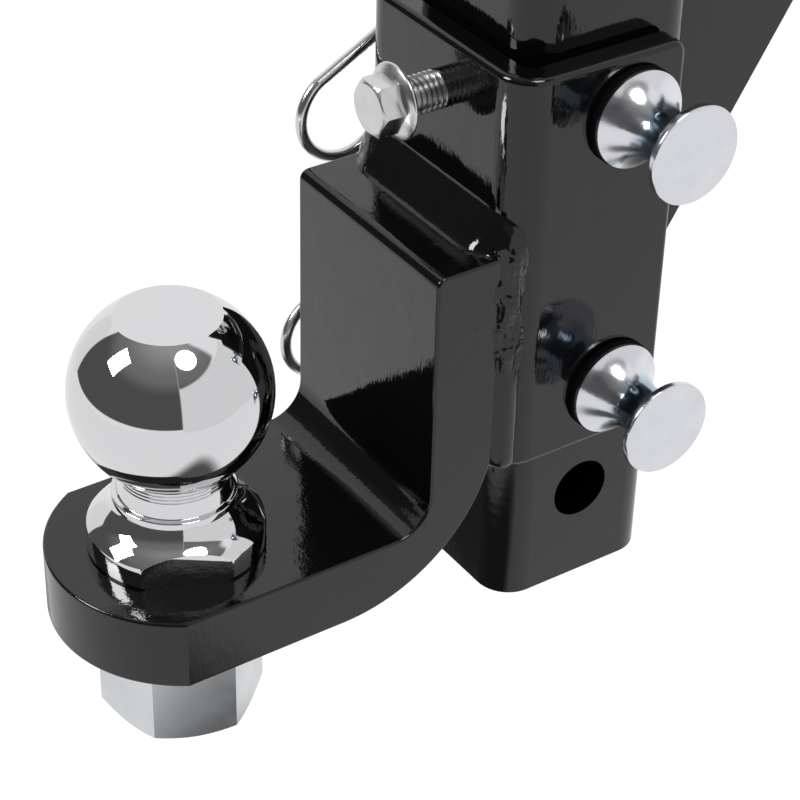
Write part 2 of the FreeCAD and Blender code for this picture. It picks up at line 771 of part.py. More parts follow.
def clip_leg_angle(droop):
    """Angle of the straight leg below the level line: the droop and the lean to the round head."""
    lean = math.degrees(math.asin(size("clip_head_radius").value / size("clip_reach").value))
    return math.radians(droop.value + lean)


def clip_leg_direction(droop):
    """Direction of the straight leg, from the pin towards the round head."""
    angle = clip_leg_angle(droop)
    return FreeCAD.Vector(0, -math.cos(angle), -math.sin(angle))


def make_clip(name, height, droop):
    """Hairpin clip of spring wire: straight leg through the pin, round head, leg over the pin."""
    reach = size("clip_reach").value
    head = size("clip_head_radius").value
    wire = size("clip_wire").value / 2
    hug = size("pin_diameter").value / 2 + wire + size("clip_pin_gap").value
    lean = math.asin(head / reach)
    tangent = math.sqrt(reach * reach - head * head)
    slope = math.acos((head - hug) / reach)
    hug_end = slope + math.radians(size("clip_hug_angle").value)
    lip = size("clip_lip_radius").value
    lip_turn = math.radians(size("clip_lip_angle").value)

    def spot(across, up):
        return FreeCAD.Vector(across, up, 0)

    def on_circle(centre, radius, angle):
        return centre + spot(radius * math.cos(angle), radius * math.sin(angle))

    pin_middle = spot(0, 0)
    head_middle = spot(reach, 0)
    leg = spot(math.cos(lean), -math.sin(lean))
    tip = leg * -size("clip_tip").value
    leave = leg * tangent
    arrive = on_circle(head_middle, head, slope)
    over_start = on_circle(pin_middle, hug, slope)
    over_end = on_circle(pin_middle, hug, hug_end)
    lip_middle = on_circle(pin_middle, hug + lip, hug_end)
    lip_from = hug_end + math.pi
    lip_mid = on_circle(lip_middle, lip, lip_from - lip_turn / 2)
    lip_end = on_circle(lip_middle, lip, lip_from - lip_turn)
    spine = Part.Wire([
        Part.makeLine(tip, leave),
        Part.Arc(leave, spot(reach + head, 0), arrive).toShape(),
        Part.makeLine(arrive, over_start),
        Part.Arc(over_start, on_circle(pin_middle, hug, (slope + hug_end) / 2), over_end).toShape(),
        Part.Arc(over_end, lip_mid, lip_end).toShape()])
    section = Part.Wire([Part.Circle(tip, leg, wire).toShape()])
    shape = spine.makePipeShell([section], True, True)
    upright = FreeCAD.Placement(FreeCAD.Vector(), FreeCAD.Rotation(FreeCAD.Vector(0, -1, 0),
                                FreeCAD.Vector(0, 0, 1), FreeCAD.Vector(-1, 0, 0), "ZYX"))
    turn = FreeCAD.Placement(clip_centre(height), FreeCAD.Rotation(FreeCAD.Vector(1, 0, 0), droop.value))
    solid_part(name, shape, turn.multiply(upright))


def make_anti_rattle_bolt():
    """Hexagon flange bolt through the channel front, bearing on the face of the drop tube."""
    stand_off = size("bolt_stand_off")
    rim = size("bolt_flange_rim")
    flange = size("bolt_flange") / 2
    thread = size("bolt_thread") / 2
    neck = size("bolt_flats") / 2
    under_hexagon = rim + size("bolt_flange_cone")
    reach = stand_off + size("channel_wall") + size("side_gap") - size("bolt_tip_gap")
    tip = size("bolt_tip_chamfer")
    turned = new_body("anti_rattle_bolt_turned")
    exports.remove(turned)
    profile = new_sketch(turned, "profile", "XZ_Plane")
    draw_outline(profile, [(0, -reach), (thread - tip, -reach), (thread, tip - reach), (thread, 0), (flange, 0),
                           (flange, rim), (neck, under_hexagon), (0, under_hexagon)])
    revolve(turned, profile, "V_Axis")
    hexagon = hexagon_blank("anti_rattle_bolt", size("bolt_flats"), size("bolt_head_height"),
                            size("bolt_face_share"), False)
    bolt = combine("Fuse", "anti_rattle_bolt", turned, hexagon)
    head_y = channel_front_y - stand_off
    bolt.Placement = FreeCAD.Placement(FreeCAD.Vector(0, head_y.value, bolt_z.value),
                                       FreeCAD.Rotation(FreeCAD.Vector(1, 0, 0), 90))
    bolt.setExpression("Placement.Base.y", head_y.expression)
    bolt.setExpression("Placement.Base.z", bolt_z.expression)
    exports.append(bolt)


def check_and_export():
    """Stop on any failed object or bad shape, then write one file per sub-part."""
    document.recompute()
    for item in document.Objects:
        if "Invalid" in item.State or "Error" in item.State:
            raise RuntimeError(item.Name + " failed: " + str(item.State))
    for item in exports:
        shape = item.Shape
        if shape.isNull() or not shape.isValid() or not shape.Solids:
            raise RuntimeError(item.Label + " has no valid solid")
    os.makedirs("parts", exist_ok=True)
    for item in exports:
        item.Shape.exportStep(os.path.join("parts", item.Label + ".step"))
        box = item.Shape.BoundBox
        print(item.Label, len(item.Shape.Solids), round(item.Shape.Volume),
              [round(edge, 2) for edge in (box.XMin, box.XMax, box.YMin, box.YMax, box.ZMin, box.ZMax)])


make_drop_tube()
make_receiver_shank()
make_gusset()
make_gusset_welds()
make_shank_welds()
make_carriage_channel()
make_ball_platform()
make_platform_welds()
make_tow_ball()
make_lock_washer()
make_ball_nut()
for pin_name, pin_z, pin_droop in (("upper", upper_pin_z, size("upper_clip_droop")),
                                   ("lower", lower_pin_z, size("lower_clip_droop"))):
    make_pin(pin_name + "_pin", pin_z, pin_droop)
    make_ring(pin_name + "_pin_ring", pin_z)
    make_clip(pin_name + "_clip", pin_z, pin_droop)
make_anti_rattle_bolt()
check_and_export()
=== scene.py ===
import logging
import math
from dataclasses import dataclass
from enum import Enum
from typing import Any, Optional, Sequence, Tuple

import bmesh
import bpy
from mathutils import Matrix, Vector, noise


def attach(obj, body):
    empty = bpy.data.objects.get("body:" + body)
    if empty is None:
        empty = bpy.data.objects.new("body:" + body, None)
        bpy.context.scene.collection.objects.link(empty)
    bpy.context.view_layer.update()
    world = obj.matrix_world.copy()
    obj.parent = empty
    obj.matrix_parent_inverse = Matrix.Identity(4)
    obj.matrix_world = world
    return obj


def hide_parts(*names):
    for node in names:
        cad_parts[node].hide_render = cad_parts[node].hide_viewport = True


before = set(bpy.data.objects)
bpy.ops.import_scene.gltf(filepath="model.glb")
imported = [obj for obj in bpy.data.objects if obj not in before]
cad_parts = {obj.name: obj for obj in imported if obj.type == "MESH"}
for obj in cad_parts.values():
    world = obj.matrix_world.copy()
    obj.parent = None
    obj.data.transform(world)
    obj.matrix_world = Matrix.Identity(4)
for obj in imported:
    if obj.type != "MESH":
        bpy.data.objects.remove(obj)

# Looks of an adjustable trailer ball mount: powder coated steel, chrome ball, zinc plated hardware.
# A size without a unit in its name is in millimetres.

Colour = Tuple[float, float, float, float]
Point = Tuple[float, float, float]
Pair = Tuple[float, float]

LOG = logging.getLogger("ball_mount")
MM = 0.001
MERGE_GAP_M = 2e-7
PLANE_GAP_M = 1e-8
ROUND_STEPS = 96
LEAST_ROUGHNESS = 0.02
# Nearly all of a noise texture's values lie between these.
NOISE_LOW, NOISE_HIGH = 0.3, 0.7
TUBE_Y_MM = -258.0
UPPER_PIN_Z_MM = -197.4
LOWER_PIN_Z_MM = -275.2


def linear(code: str) -> Colour:
    """Turn an sRGB hex colour into linear light.

    Args:
        code: Six hex digits, with or without a leading hash sign.

    Returns:
        Red, green, blue and alpha in linear light.
    """
    digits = code.lstrip("#")
    parts = [int(digits[place:place + 2], 16) / 255 for place in (0, 2, 4)]
    red, green, blue = (p / 12.92 if p <= 0.04045 else ((p + 0.055) / 1.055) ** 2.4 for p in parts)
    return red, green, blue, 1.0


def direction(azimuth_degrees: float, elevation_degrees: float) -> Vector:
    """Unit vector towards a place in the sky.

    Args:
        azimuth_degrees: Angle round the upright axis, from +X towards +Y.
        elevation_degrees: Angle above the horizon.

    Returns:
        The vector.
    """
    a, e = math.radians(azimuth_degrees), math.radians(elevation_degrees)
    return Vector((math.cos(e) * math.cos(a), math.cos(e) * math.sin(a), math.sin(e)))


def share_of(value: float, whole: float) -> float:
    """How much of a whole a value is, kept between 0 and 1."""
    return min(1.0, max(0.0, value / whole))


def empty_tree(owner: Any) -> bpy.types.NodeTree:
    """Give a material or world an empty node tree.

    Args:
        owner: The material or world.

    Returns:
        Its node tree.
    """
    owner.use_nodes = True
    owner.node_tree.nodes.clear()
    return owner.node_tree


def add_node(tree: bpy.types.NodeTree, kind: str, inputs: Optional[dict] = None,
             **settings: Any) -> bpy.types.Node:
    """Add one shader node with its settings, values and links.

    Args:
        tree: The node tree that gets the node.
        kind: The node's type name.
        inputs: Input name or number to its value, or to the socket or node that feeds it.
        **settings: Attributes of the node, which are set first.

    Returns:
        The new node.
    """
    node = tree.nodes.new(kind)
    for name, value in settings.items():
        setattr(node, name, value)
    for key, value in (inputs or {}).items():
        source = value.outputs[0] if isinstance(value, bpy.types.Node) else value
        if isinstance(source, bpy.types.NodeSocket):
            tree.links.new(source, node.inputs[key])
        else:
            node.inputs[key].default_value = source
    return node


class Grain(Enum):
    """How the fine lines of a surface run: the pattern's scale along x, y and z."""

    EVEN = (1.0, 1.0, 1.0)
    UPRIGHT = (1.0, 1.0, 0.05)
    HAIRY = (1.0, 1.0, 0.3)


@dataclass(frozen=True)
class Finish:
    """A surface made from a real material: its constant values, its relief, its stains, and a blue tint
    that is partly a painted reflection.
    """

    name: str
    colour: str
    metallic: float
    roughness: float
    wave_mm: float = 3.0
    wave_height_mm: float = 0.0
    fine_mm: float = 0.4
    fine_height_mm: float = 0.0
    grain: Grain = Grain.EVEN
    tint: str = ""
    tint_mm: float = 12.0
    roughness_spread: float = 0.0
    specular: float = 0.5
    stain_and_reflection_tint: str = ""
    stain_and_reflection_mm: Pair = (0.0, 0.0)
    stain_and_reflection_edge_share: float = 0.3

    def build(self) -> bpy.types.Material:
        """Make the Blender material of this finish.

        Returns:
            The material, with relief, tint and roughness patterns on Object coordinates.
        """
        material = bpy.data.materials.new(self.name)
        tree = empty_tree(material)
        place = add_node(tree, "ShaderNodeTexCoord").outputs["Object"]
        surface = add_node(tree, "ShaderNodeBsdfPrincipled",
                           {"Base Color": linear(self.colour), "Metallic": self.metallic,
                            "Roughness": self.roughness, "Specular IOR Level": self.specular})
        patch = add_node(tree, "ShaderNodeTexNoise",
                         {"Vector": place, "Scale": 1 / (self.tint_mm * MM), "Detail": 4.0})
        if self.tint:
            mix = add_node(tree, "ShaderNodeMix",
                           {"Factor": patch.outputs["Fac"], 6: linear(self.colour), 7: linear(self.tint)},
                           data_type="RGBA")
            tree.links.new(self.stained_and_reflected(tree, place, mix.outputs[2]), surface.inputs["Base Color"])
        if self.roughness_spread:
            spread = add_node(tree, "ShaderNodeMapRange",
                              {"Value": patch.outputs["Fac"], "From Min": NOISE_LOW, "From Max": NOISE_HIGH,
                               "To Min": max(LEAST_ROUGHNESS, self.roughness - self.roughness_spread),
                               "To Max": self.roughness + self.roughness_spread})
            tree.links.new(spread.outputs["Result"], surface.inputs["Roughness"])
        lines = add_node(tree, "ShaderNodeMapping", {"Vector": place, "Scale": self.grain.value})
        normal = None
        for source, width, height in ((place, self.wave_mm, self.wave_height_mm),
                                      (lines, self.fine_mm, self.fine_height_mm)):
            if not height:
                continue
            relief = add_node(tree, "ShaderNodeTexNoise",
                              {"Vector": source, "Scale": 1 / (width * MM), "Detail": 2.0})
            bump = add_node(tree, "ShaderNodeBump", {"Height": relief.outputs["Fac"],
                                                     "Distance": height * MM, "Strength": 1.0})
            if normal is not None:
                tree.links.new(normal, bump.inputs["Normal"])
            normal = bump.outputs["Normal"]
        if normal is not None:
            tree.links.new(normal, surface.inputs["Normal"])
        add_node(tree, "ShaderNodeOutputMaterial", {"Surface": surface})
        return material

    def stained_and_reflected(self, tree: bpy.types.NodeTree, place: bpy.types.NodeSocket,
               colour: bpy.types.NodeSocket) -> bpy.types.NodeSocket:
        """Tint the stretch along x over the neck blue: partly the passivate's own colour, partly a painted
        reflection.

        Args:
            tree: The material's node tree.
            place: Object coordinates.
            colour: The colour elsewhere.

        Returns:
            The tinted colour, or the plain one if there is no tint.
        """
        if not self.stain_and_reflection_tint:
            return colour
        low, high = (edge * MM for edge in self.stain_and_reflection_mm)
        soft = (high - low) * self.stain_and_reflection_edge_share
        across = add_node(tree, "ShaderNodeSeparateXYZ", {0: place})
        rise, fall = (add_node(tree, "ShaderNodeMapRange",
                               {"Value": across, "From Min": start, "From Max": end})
                      for start, end in ((low, low + soft), (high, high - soft)))
        share = add_node(tree, "ShaderNodeMath", {0: rise, 1: fall}, operation="MULTIPLY")
        # Painted reflection mixed with the passivate's own blue over the neck.
        neck_tint = add_node(tree, "ShaderNodeMix", {"Factor": share, 6: colour, 7: linear(self.stain_and_reflection_tint)},
                         data_type="RGBA")
        return neck_tint.outputs[2]


# Glossy black polyester powder coat, baked: nearly black film, mirror-like, with orange peel 9 mm wide.
# Its finer relief is drawn at 0.9 mm, coarser than the real one, to fray the edges of reflections.
POWDER_COAT = Finish("black_powder_coat", "#060607", 0.0, 0.06, wave_mm=9.0, wave_height_mm=0.11,
                     fine_mm=0.9, fine_height_mm=0.03, grain=Grain.HAIRY, tint="#0a0a0b", tint_mm=30.0)
# Bright nickel-chrome plate over polished steel: a clean, slightly grey mirror.
CHROME = Finish("polished_chrome", "#d8d8da", 1.0, 0.03, wave_mm=9.0, wave_height_mm=0.002)
# Clear-blue zinc on turned steel: bright metal with a cool lilac cast, and a blue tint on the neck that is
# partly the passivate's own colour and partly a painted reflection.
# Its turning marks are drawn at 0.8 mm, coarser than a lathe's feed, so that they show.
TURNED_ZINC = Finish("turned_clear_blue_zinc", "#cfd0d7", 1.0, 0.18, tint="#e2e3e7", tint_mm=6.0,
                     fine_mm=0.8, fine_height_mm=0.016, roughness_spread=0.07, stain_and_reflection_tint="#9db4c6",
                     stain_and_reflection_mm=(42.0, 55.0))
# Zinc on a forged nut: satin, with faint upright scratches.
SATIN_ZINC = Finish("satin_zinc_plate", "#d6d8da", 1.0, 0.26, tint="#c8cbcf", tint_mm=10.0,
                    fine_mm=0.35, fine_height_mm=0.002, grain=Grain.UPRIGHT, roughness_spread=0.05)
# Zinc on a cold formed bolt: dull bright metal with a trace of pink.
BOLT_ZINC = Finish("cold_formed_zinc", "#d9d8d8", 1.0, 0.24, tint="#c9c6c6", tint_mm=5.0,
                   fine_mm=0.4, fine_height_mm=0.003, roughness_spread=0.06)
# Drawn spring steel wire, plated: polished, with slightly darker patches.
SPRING_WIRE = Finish("drawn_spring_wire", "#dcdddf", 1.0, 0.2, tint="#c8c9cb", tint_mm=6.0)
# Moulded nitrile rubber: matt black, with a slight bloom that takes away its sheen.
RUBBER = Finish("nitrile_rubber", "#050505", 0.0, 0.9, wave_mm=0.8, wave_height_mm=0.01, specular=0.12)
# Matt black card that stands in for the shade inside the tube's bore: painted shade.
BORE_SHADE_CARD = Finish("painted_bore_shade", "#050505", 0.0, 1.0, specular=0.0)


def dress_node(name: str, material: bpy.types.Material) -> None:
    """Give a carried-over CAD node its finish.

    Args:
        name: The node's name in the frame.
        material: The finish that takes the place of its plain one.
    """
    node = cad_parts[name]
    node.data.materials.clear()
    node.data.materials.append(material)
    LOG.info("%s finished as %s", name, material.name)


def link_mesh(name: str, shape: bmesh.types.BMesh) -> bpy.types.Object:
    """Put a shape in the scene as an object.

    Args:
        name: The name of the object and its mesh.
        shape: The shape, in metres in the shared frame. It is freed.

    Returns:
        The new object.
    """
    mesh = bpy.data.meshes.new(name)
    shape.to_mesh(mesh)
    shape.free()
    thing = bpy.data.objects.new(name, mesh)
    bpy.context.collection.objects.link(thing)
    return thing


def take_shape(thing: bpy.types.Object) -> bmesh.types.BMesh:
    """Take an object out of the scene and keep its shape, with its modifiers applied.

    Args:
        thing: The object. It is removed.

    Returns:
        Its shape.
    """
    graph = bpy.context.evaluated_depsgraph_get()
    mesh = bpy.data.meshes.new_from_object(thing.evaluated_get(graph))
    bpy.data.objects.remove(thing)
    shape = bmesh.new()
    shape.from_mesh(mesh)
    bpy.data.meshes.remove(mesh)
    return shape


def finish_piece(shape: bmesh.types.BMesh, name: str, body: str, material: bpy.types.Material,
                 stands_for: Sequence[str], sharp_degrees: float = 28.0) -> None:
    """Turn a finished bmesh into a piece that rides on its CAD body.

    Args:
        shape: The bmesh, in metres in the shared frame. It is freed.
        name: The piece's name.
        body: The CAD body that it moves with.
        material: Its finish.
        stands_for: CAD nodes that it replaces.
        sharp_degrees: Edges that fold more than this stay crisp.
    """
    bmesh.ops.remove_doubles(shape, verts=shape.verts, dist=MERGE_GAP_M)
    bmesh.ops.recalc_face_normals(shape, faces=shape.faces)
    thing = link_mesh(name, shape)
    mesh = thing.data
    mesh.materials.append(material)
    mesh.polygons.foreach_set("use_smooth", [True] * len(mesh.polygons))
    mesh.set_sharp_from_angle(angle=math.radians(sharp_degrees))
    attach(thing, body)
    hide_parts(*stands_for)
    LOG.info("%s: %d faces, rides on %s", name, len(mesh.polygons), body)


class Lathe:
    """Draws a profile from radius and height in millimetres, then turns it round the upright axis."""

    def __init__(self, radius: float, height: float) -> None:
        """Start the profile at a point.

        Args:
            radius: Distance from the axis.
            height: Height on the axis.
        """
        self.shape = bmesh.new()
        self.tip = self.shape.verts.new((radius * MM, 0.0, height * MM))

    def line(self, radius: float, height: float) -> "Lathe":
        """Go straight to a point.

        Args:
            radius: Distance from the axis.
            height: Height on the axis.

        Returns:
            The lathe itself.
        """
        made = bmesh.ops.extrude_vert_indiv(self.shape, verts=[self.tip])
        self.tip = made["verts"][0]
        self.tip.co = (radius * MM, 0.0, height * MM)
        return self

    def arc(self, radius: float, height: float, degrees: float, steps: int) -> "Lathe":
        """Go round a centre; a positive angle turns from the axis towards the height.

        Args:
            radius: The centre's distance from the axis.
            height: The centre's height.
            degrees: How far to go round.
            steps: Pieces of the arc.

        Returns:
            The lathe itself.
        """
        made = bmesh.ops.spin(self.shape, geom=[self.tip], cent=(radius * MM, 0.0, height * MM),
                              axis=(0.0, -1.0, 0.0), angle=math.radians(degrees), steps=steps,
                              use_duplicate=False)
        self.tip = next(part for part in made["geom_last"] if isinstance(part, bmesh.types.BMVert))
        return self

    def turn(self, segments: int) -> bmesh.types.BMesh:
        """Turn the profile into a solid of revolution.

        Args:
            segments: Faces round the axis.

        Returns:
            The turned shape.
        """
        bmesh.ops.spin(self.shape, geom=self.shape.verts[:] + self.shape.edges[:], cent=(0.0, 0.0, 0.0),
                       axis=(0.0, 0.0, 1.0), angle=math.tau, steps=segments, use_merge=True,
                       use_duplicate=False)
        bmesh.ops.remove_doubles(self.shape, verts=self.shape.verts, dist=MERGE_GAP_M)
        return self.shape


def bowed_arc(start: Pair, end: Pair, radius: float) -> Tuple[float, float, float]:
    """Centre and angle of an arc between two points of a profile.

    Args:
        start: Radius and height where it starts.
        end: Radius and height where it ends.
        radius: Its radius; positive with its centre to the left of the way from start to end,
            negative with its centre to the right.

    Returns:
        The centre's radius and height, and the angle in degrees.
    """
    middle = Vector((start[0] + end[0], start[1] + end[1])) / 2
    chord = Vector((end[0] - start[0], end[1] - start[1]))
    across = Vector((-chord.y, chord.x)).normalized()
    depth = math.sqrt(radius ** 2 - (chord.length / 2) ** 2)
    centre = middle + across * math.copysign(depth, radius)
    angle = math.degrees(2 * math.asin(chord.length / 2 / radius))
    return centre.x, centre.y, angle


def place_shape(shape: bmesh.types.BMesh, axis: str, spot_mm: Point) -> None:
    """Lay an upright turned shape along another axis and move it to its place.

    Args:
        shape: The shape, with its axis at the origin.
        axis: "Y" turns its top towards +X, "X" turns it towards -Y.
        spot_mm: Where its origin goes.
    """
    bmesh.ops.rotate(shape, verts=shape.verts, cent=(0.0, 0.0, 0.0),
                     matrix=Matrix.Rotation(math.pi / 2, 3, axis))
    bmesh.ops.translate(shape, verts=shape.verts, vec=Vector(spot_mm) * MM)


def slice_off(shape: bmesh.types.BMesh, spot_mm: Point, outwards: Point) -> None:
    """Cut away what lies beyond a plane and close the cut.

    Args:
        shape: The shape.
        spot_mm: A point of the plane.
        outwards: Direction in which everything goes.
    """
    cut = bmesh.ops.bisect_plane(shape, geom=shape.verts[:] + shape.edges[:] + shape.faces[:],
                                 dist=PLANE_GAP_M, plane_co=Vector(spot_mm) * MM, plane_no=outwards,
                                 clear_outer=True)
    rim = [part for part in cut["geom_cut"] if isinstance(part, bmesh.types.BMEdge)]
    bmesh.ops.edgeloop_fill(shape, edges=rim)


def cut_flat(shape: bmesh.types.BMesh, distance_mm: float, direction_degrees: float,
             below_mm: float = math.inf) -> None:
    """Mill a flat on an upright turned shape and close it.

    Args:
        shape: The shape, with its axis at the origin.
        distance_mm: Distance of the flat from the axis.
        direction_degrees: Direction that the flat faces.
        below_mm: Only faces lower than this are cut.
    """
    outwards = direction(direction_degrees, 0.0)
    faces = [f for f in shape.faces if f.calc_center_median().z < below_mm * MM]
    verts = list({v for f in faces for v in f.verts})
    edges = list({e for f in faces for e in f.edges})
    cut = bmesh.ops.bisect_plane(shape, geom=verts + edges + faces, dist=PLANE_GAP_M,
                                 plane_co=outwards * distance_mm * MM, plane_no=outwards, clear_outer=True)
    rim = [part for part in cut["geom_cut"] if isinstance(part, bmesh.types.BMEdge) and part.is_boundary]
    bmesh.ops.edgeloop_fill(shape, edges=rim)


def drill_through(shape: bmesh.types.BMesh, drill: bmesh.types.BMesh) -> bmesh.types.BMesh:
    """Cut one closed shape out of another.

    Args:
        shape: The shape that is cut. It is freed.
        drill: The shape that cuts. It is freed.

    Returns:
        The cut shape.
    """
    blank, tool = link_mesh("blank", shape), link_mesh("tool", drill)
    boolean = blank.modifiers.new("drill", "BOOLEAN")
    boolean.operation = "DIFFERENCE"
    boolean.solver = "EXACT"
    boolean.object = tool
    cut = take_shape(blank)
    bpy.data.objects.remove(tool)
    return cut


@dataclass
class PlainSteel:
    """The nodes that keep their CAD shape under the powder coat."""

    nodes: Tuple[str, ...] = ("drop_tube", "receiver_shank", "gusset", "shank_weld_right",
                              "shank_weld_left", "gusset_weld_right", "gusset_weld_left",
                              "carriage_channel", "ball_platform")

    def build(self, coat: bpy.types.Material) -> None:
        """Dress the nodes.

        Args:
            coat: The powder coat.
        """
        for node in self.nodes:
            dress_node(node, coat)


@dataclass(frozen=True)
class Core:
    """A block inside the leg or channel: its two corners."""

    low_mm: Point
    high_mm: Point

    def add_to(self, shape: bmesh.types.BMesh) -> None:
        """Add the block to a shape.

        Args:
            shape: The shape, in metres.
        """
        made = bmesh.ops.create_cube(shape, size=1.0)["verts"]
        low, high = Vector(self.low_mm) * MM, Vector(self.high_mm) * MM
        bmesh.ops.scale(shape, verts=made, vec=high - low)
        bmesh.ops.translate(shape, verts=made, vec=(low + high) / 2)


@dataclass
class WeldBead:
    """The fillet weld round three sides of the leg: one bead, with ripples on its rough stretch.

    It grows from the cores and the channel's rounded bends, and the waste is cut out at the end.
    """

    nodes: Tuple[str, ...] = ("platform_weld_right", "platform_weld_top", "platform_weld_left")
    cores: Tuple[Core, ...] = (Core((-24.0, -291.3, -250.0), (24.0, -287.0, -212.0)),
                               Core((-30.9, -304.0, -289.0), (30.9, -291.0, -228.4)))
    waste: Core = Core((-28.3, -306.0, -294.0), (28.3, -286.0, -231.2))
    node_gap_m: float = 2e-6
    bend_middle_mm: Pair = (24.15, -282.15)
    bend_radius_mm: float = 9.1
    bend_z_mm: Pair = (-291.2, -208.0)
    bend_steps: int = 48
    voxel_mm: float = 0.42
    soften_passes: int = 60
    swell_mm: float = 0.16
    wanders: Tuple[Pair, ...] = ((0.35, 1.6), (1.1, 0.5))
    ripple_mm: float = 2.6
    ripple_height_mm: float = 0.5
    scallop_middle: float = 0.6
    scallop_share: float = 0.25
    lump_scale: Point = (0.5, 0.5, 0.14)
    lump_shift: Point = (7.0, 3.0, 1.0)
    lump_share: float = 2.4
    rough_z_mm: Pair = (-262.0, -222.0)
    rough_fade_mm: Pair = (6.0, 3.0)
    side_x_mm: float = 27.0
    side_fade_mm: float = 3.0
    calm_share: float = 0.02
    back_y_mm: float = -287.0
    sharp_degrees: float = 60.0

    def height_at(self, spot: Vector) -> float:
        """How far the bead stands proud at a place.

        Args:
            spot: The place, in millimetres.

        Returns:
            The height in millimetres.
        """
        wander = sum(noise.noise(spot * scale) * reach for scale, reach in self.wanders)
        along = spot.z if abs(spot.x) > self.side_x_mm else spot.x
        scallop = abs(math.sin(math.pi * (along + wander) / self.ripple_mm)) - self.scallop_middle
        squeezed = Vector([part * scale for part, scale in zip(spot, self.lump_scale)])
        lumps = noise.noise(squeezed + Vector(self.lump_shift)) * self.lump_share
        fade = share_of(abs(spot.x) - self.side_x_mm, self.side_fade_mm)
        fade *= share_of(spot.z - self.rough_z_mm[0], self.rough_fade_mm[0])
        fade *= share_of(self.rough_z_mm[1] - spot.z, self.rough_fade_mm[1])
        share = self.calm_share + (1.0 - self.calm_share) * fade
        return self.swell_mm + (scallop * self.scallop_share + lumps) * self.ripple_height_mm * share

    def blank(self) -> bmesh.types.BMesh:
        """Join the bead's three stretches and the metal that they run into.

        Returns:
            The joined shape.
        """
        shape = bmesh.new()
        for node in self.nodes:
            shape.from_mesh(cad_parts[node].data)
        bmesh.ops.remove_doubles(shape, verts=shape.verts, dist=self.node_gap_m)
        for core in self.cores:
            core.add_to(shape)
        low, high = self.bend_z_mm
        for side in (1.0, -1.0):
            radius = self.bend_radius_mm * MM
            made = bmesh.ops.create_cone(shape, cap_ends=True, cap_tris=False, segments=self.bend_steps,
                                         radius1=radius, radius2=radius, depth=(high - low) * MM)["verts"]
            x, y = self.bend_middle_mm
            bmesh.ops.translate(shape, verts=made, vec=(side * x * MM, y * MM, (low + high) / 2 * MM))
        return shape

    def build(self, coat: bpy.types.Material) -> None:
        """Join the three stretches of the bead, soften them, lay the ripples and cut out the waste.

        Args:
            coat: The powder coat that covers the weld.
        """
        blank = link_mesh("weld_blank", self.blank())
        remesh = blank.modifiers.new("even", "REMESH")
        remesh.mode = "VOXEL"
        remesh.voxel_size = self.voxel_mm * MM
        shape = take_shape(blank)
        for _ in range(self.soften_passes):
            bmesh.ops.smooth_vert(shape, verts=shape.verts, factor=0.5, use_axis_x=True, use_axis_y=True,
                                  use_axis_z=True)
        shape.normal_update()
        moves = [(vert, vert.normal * self.height_at(vert.co / MM) * MM) for vert in shape.verts]
        for vert, move in moves:
            vert.co += move
        # Its hidden side would come through the channel's wall.
        slice_off(shape, (0.0, self.back_y_mm, 0.0), (0.0, 1.0, 0.0))
        waste = bmesh.new()
        self.waste.add_to(waste)
        finish_piece(drill_through(shape, waste), "platform_weld_bead", "carriage", coat,
                     self.nodes, self.sharp_degrees)


